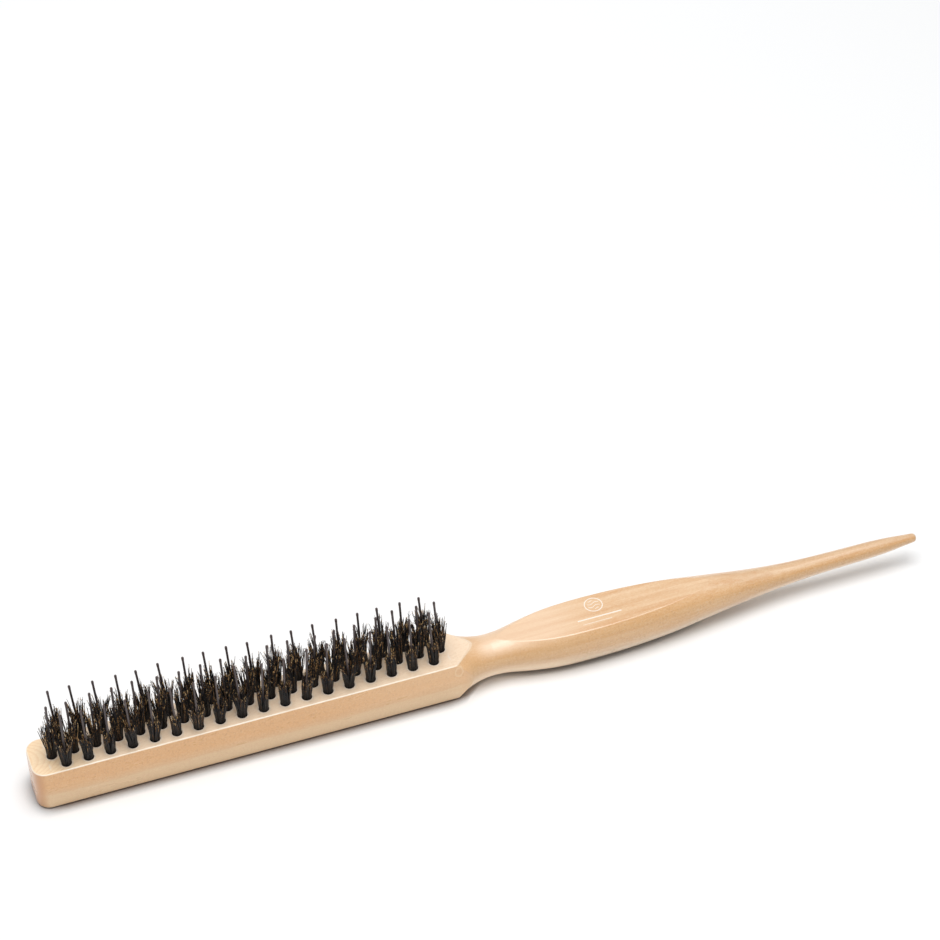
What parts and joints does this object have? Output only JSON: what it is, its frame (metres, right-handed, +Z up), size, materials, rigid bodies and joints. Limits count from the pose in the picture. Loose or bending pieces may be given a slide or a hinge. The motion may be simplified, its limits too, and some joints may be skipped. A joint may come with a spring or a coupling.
{
  "type": "tint and teasing hair brush",
  "caption": "Slim wooden salon brush: straight head bar with three staggered rows of bristle tufts and taller nylon pins, turned neck, flattened leaf grip and thin sectioning tail.",
  "frame": {"origin": "centre of the flat underside of the head bar", "axes": "+X along the brush towards the tail tip, +Z up out of the bristle face, +Y across the head"},
  "size_m": [0.25, 0.0167, 0.0316],
  "materials": {
    "lacquered_wood": "clear satin lacquer over pale close-grained wood",
    "natural_bristle": "near-black natural bristle, brown at the cut ends",
    "nylon": "dark purplish-brown nylon monofilament",
    "anchor_wire": "drawn flat wire"
  },
  "bodies": {
    "root": {"nylon_pins_back_row": "nylon", "nylon_pins_front_row": "nylon", "nylon_pins_middle_row": "nylon", "tuft_back_01": "natural_bristle", "tuft_back_02": "natural_bristle", "tuft_back_03": "natural_bristle", "tuft_back_04": "natural_bristle", "tuft_back_05": "natural_bristle", "tuft_back_06": "natural_bristle", "tuft_back_07": "natural_bristle", "tuft_back_08": "natural_bristle", "tuft_back_09": "natural_bristle", "tuft_back_10": "natural_bristle", "tuft_back_11": "natural_bristle", "tuft_back_12": "natural_bristle", "tuft_back_13": "natural_bristle", "tuft_back_14": "natural_bristle", "tuft_back_15": "natural_bristle", "tuft_back_16": "natural_bristle", "tuft_back_17": "natural_bristle", "tuft_back_18": "natural_bristle", "tuft_front_01": "natural_bristle", "tuft_front_02": "natural_bristle", "tuft_front_03": "natural_bristle", "tuft_front_04": "natural_bristle", "tuft_front_05": "natural_bristle", "tuft_front_06": "natural_bristle", "tuft_front_07": "natural_bristle", "tuft_front_08": "natural_bristle", "tuft_front_09": "natural_bristle", "tuft_front_10": "natural_bristle", "tuft_front_11": "natural_bristle", "tuft_front_12": "natural_bristle", "tuft_front_13": "natural_bristle", "tuft_front_14": "natural_bristle", "tuft_front_15": "natural_bristle", "tuft_front_16": "natural_bristle", "tuft_front_17": "natural_bristle", "tuft_front_18": "natural_bristle", "tuft_middle_01": "natural_bristle", "tuft_middle_02": "natural_bristle", "tuft_middle_03": "natural_bristle", "tuft_middle_04": "natural_bristle", "tuft_middle_05": "natural_bristle", "tuft_middle_06": "natural_bristle", "tuft_middle_07": "natural_bristle", "tuft_middle_08": "natural_bristle", "tuft_middle_09": "natural_bristle", "tuft_middle_10": "natural_bristle", "tuft_middle_11": "natural_bristle", "tuft_middle_12": "natural_bristle", "tuft_middle_13": "natural_bristle", "tuft_middle_14": "natural_bristle", "tuft_middle_15": "natural_bristle", "tuft_middle_16": "natural_bristle", "tuft_middle_17": "natural_bristle", "tuft_middle_18": "natural_bristle", "tuft_middle_19": "natural_bristle", "wire_anchors": "anchor_wire", "wooden_body": "lacquered_wood"}
  },
  "joints": []
}
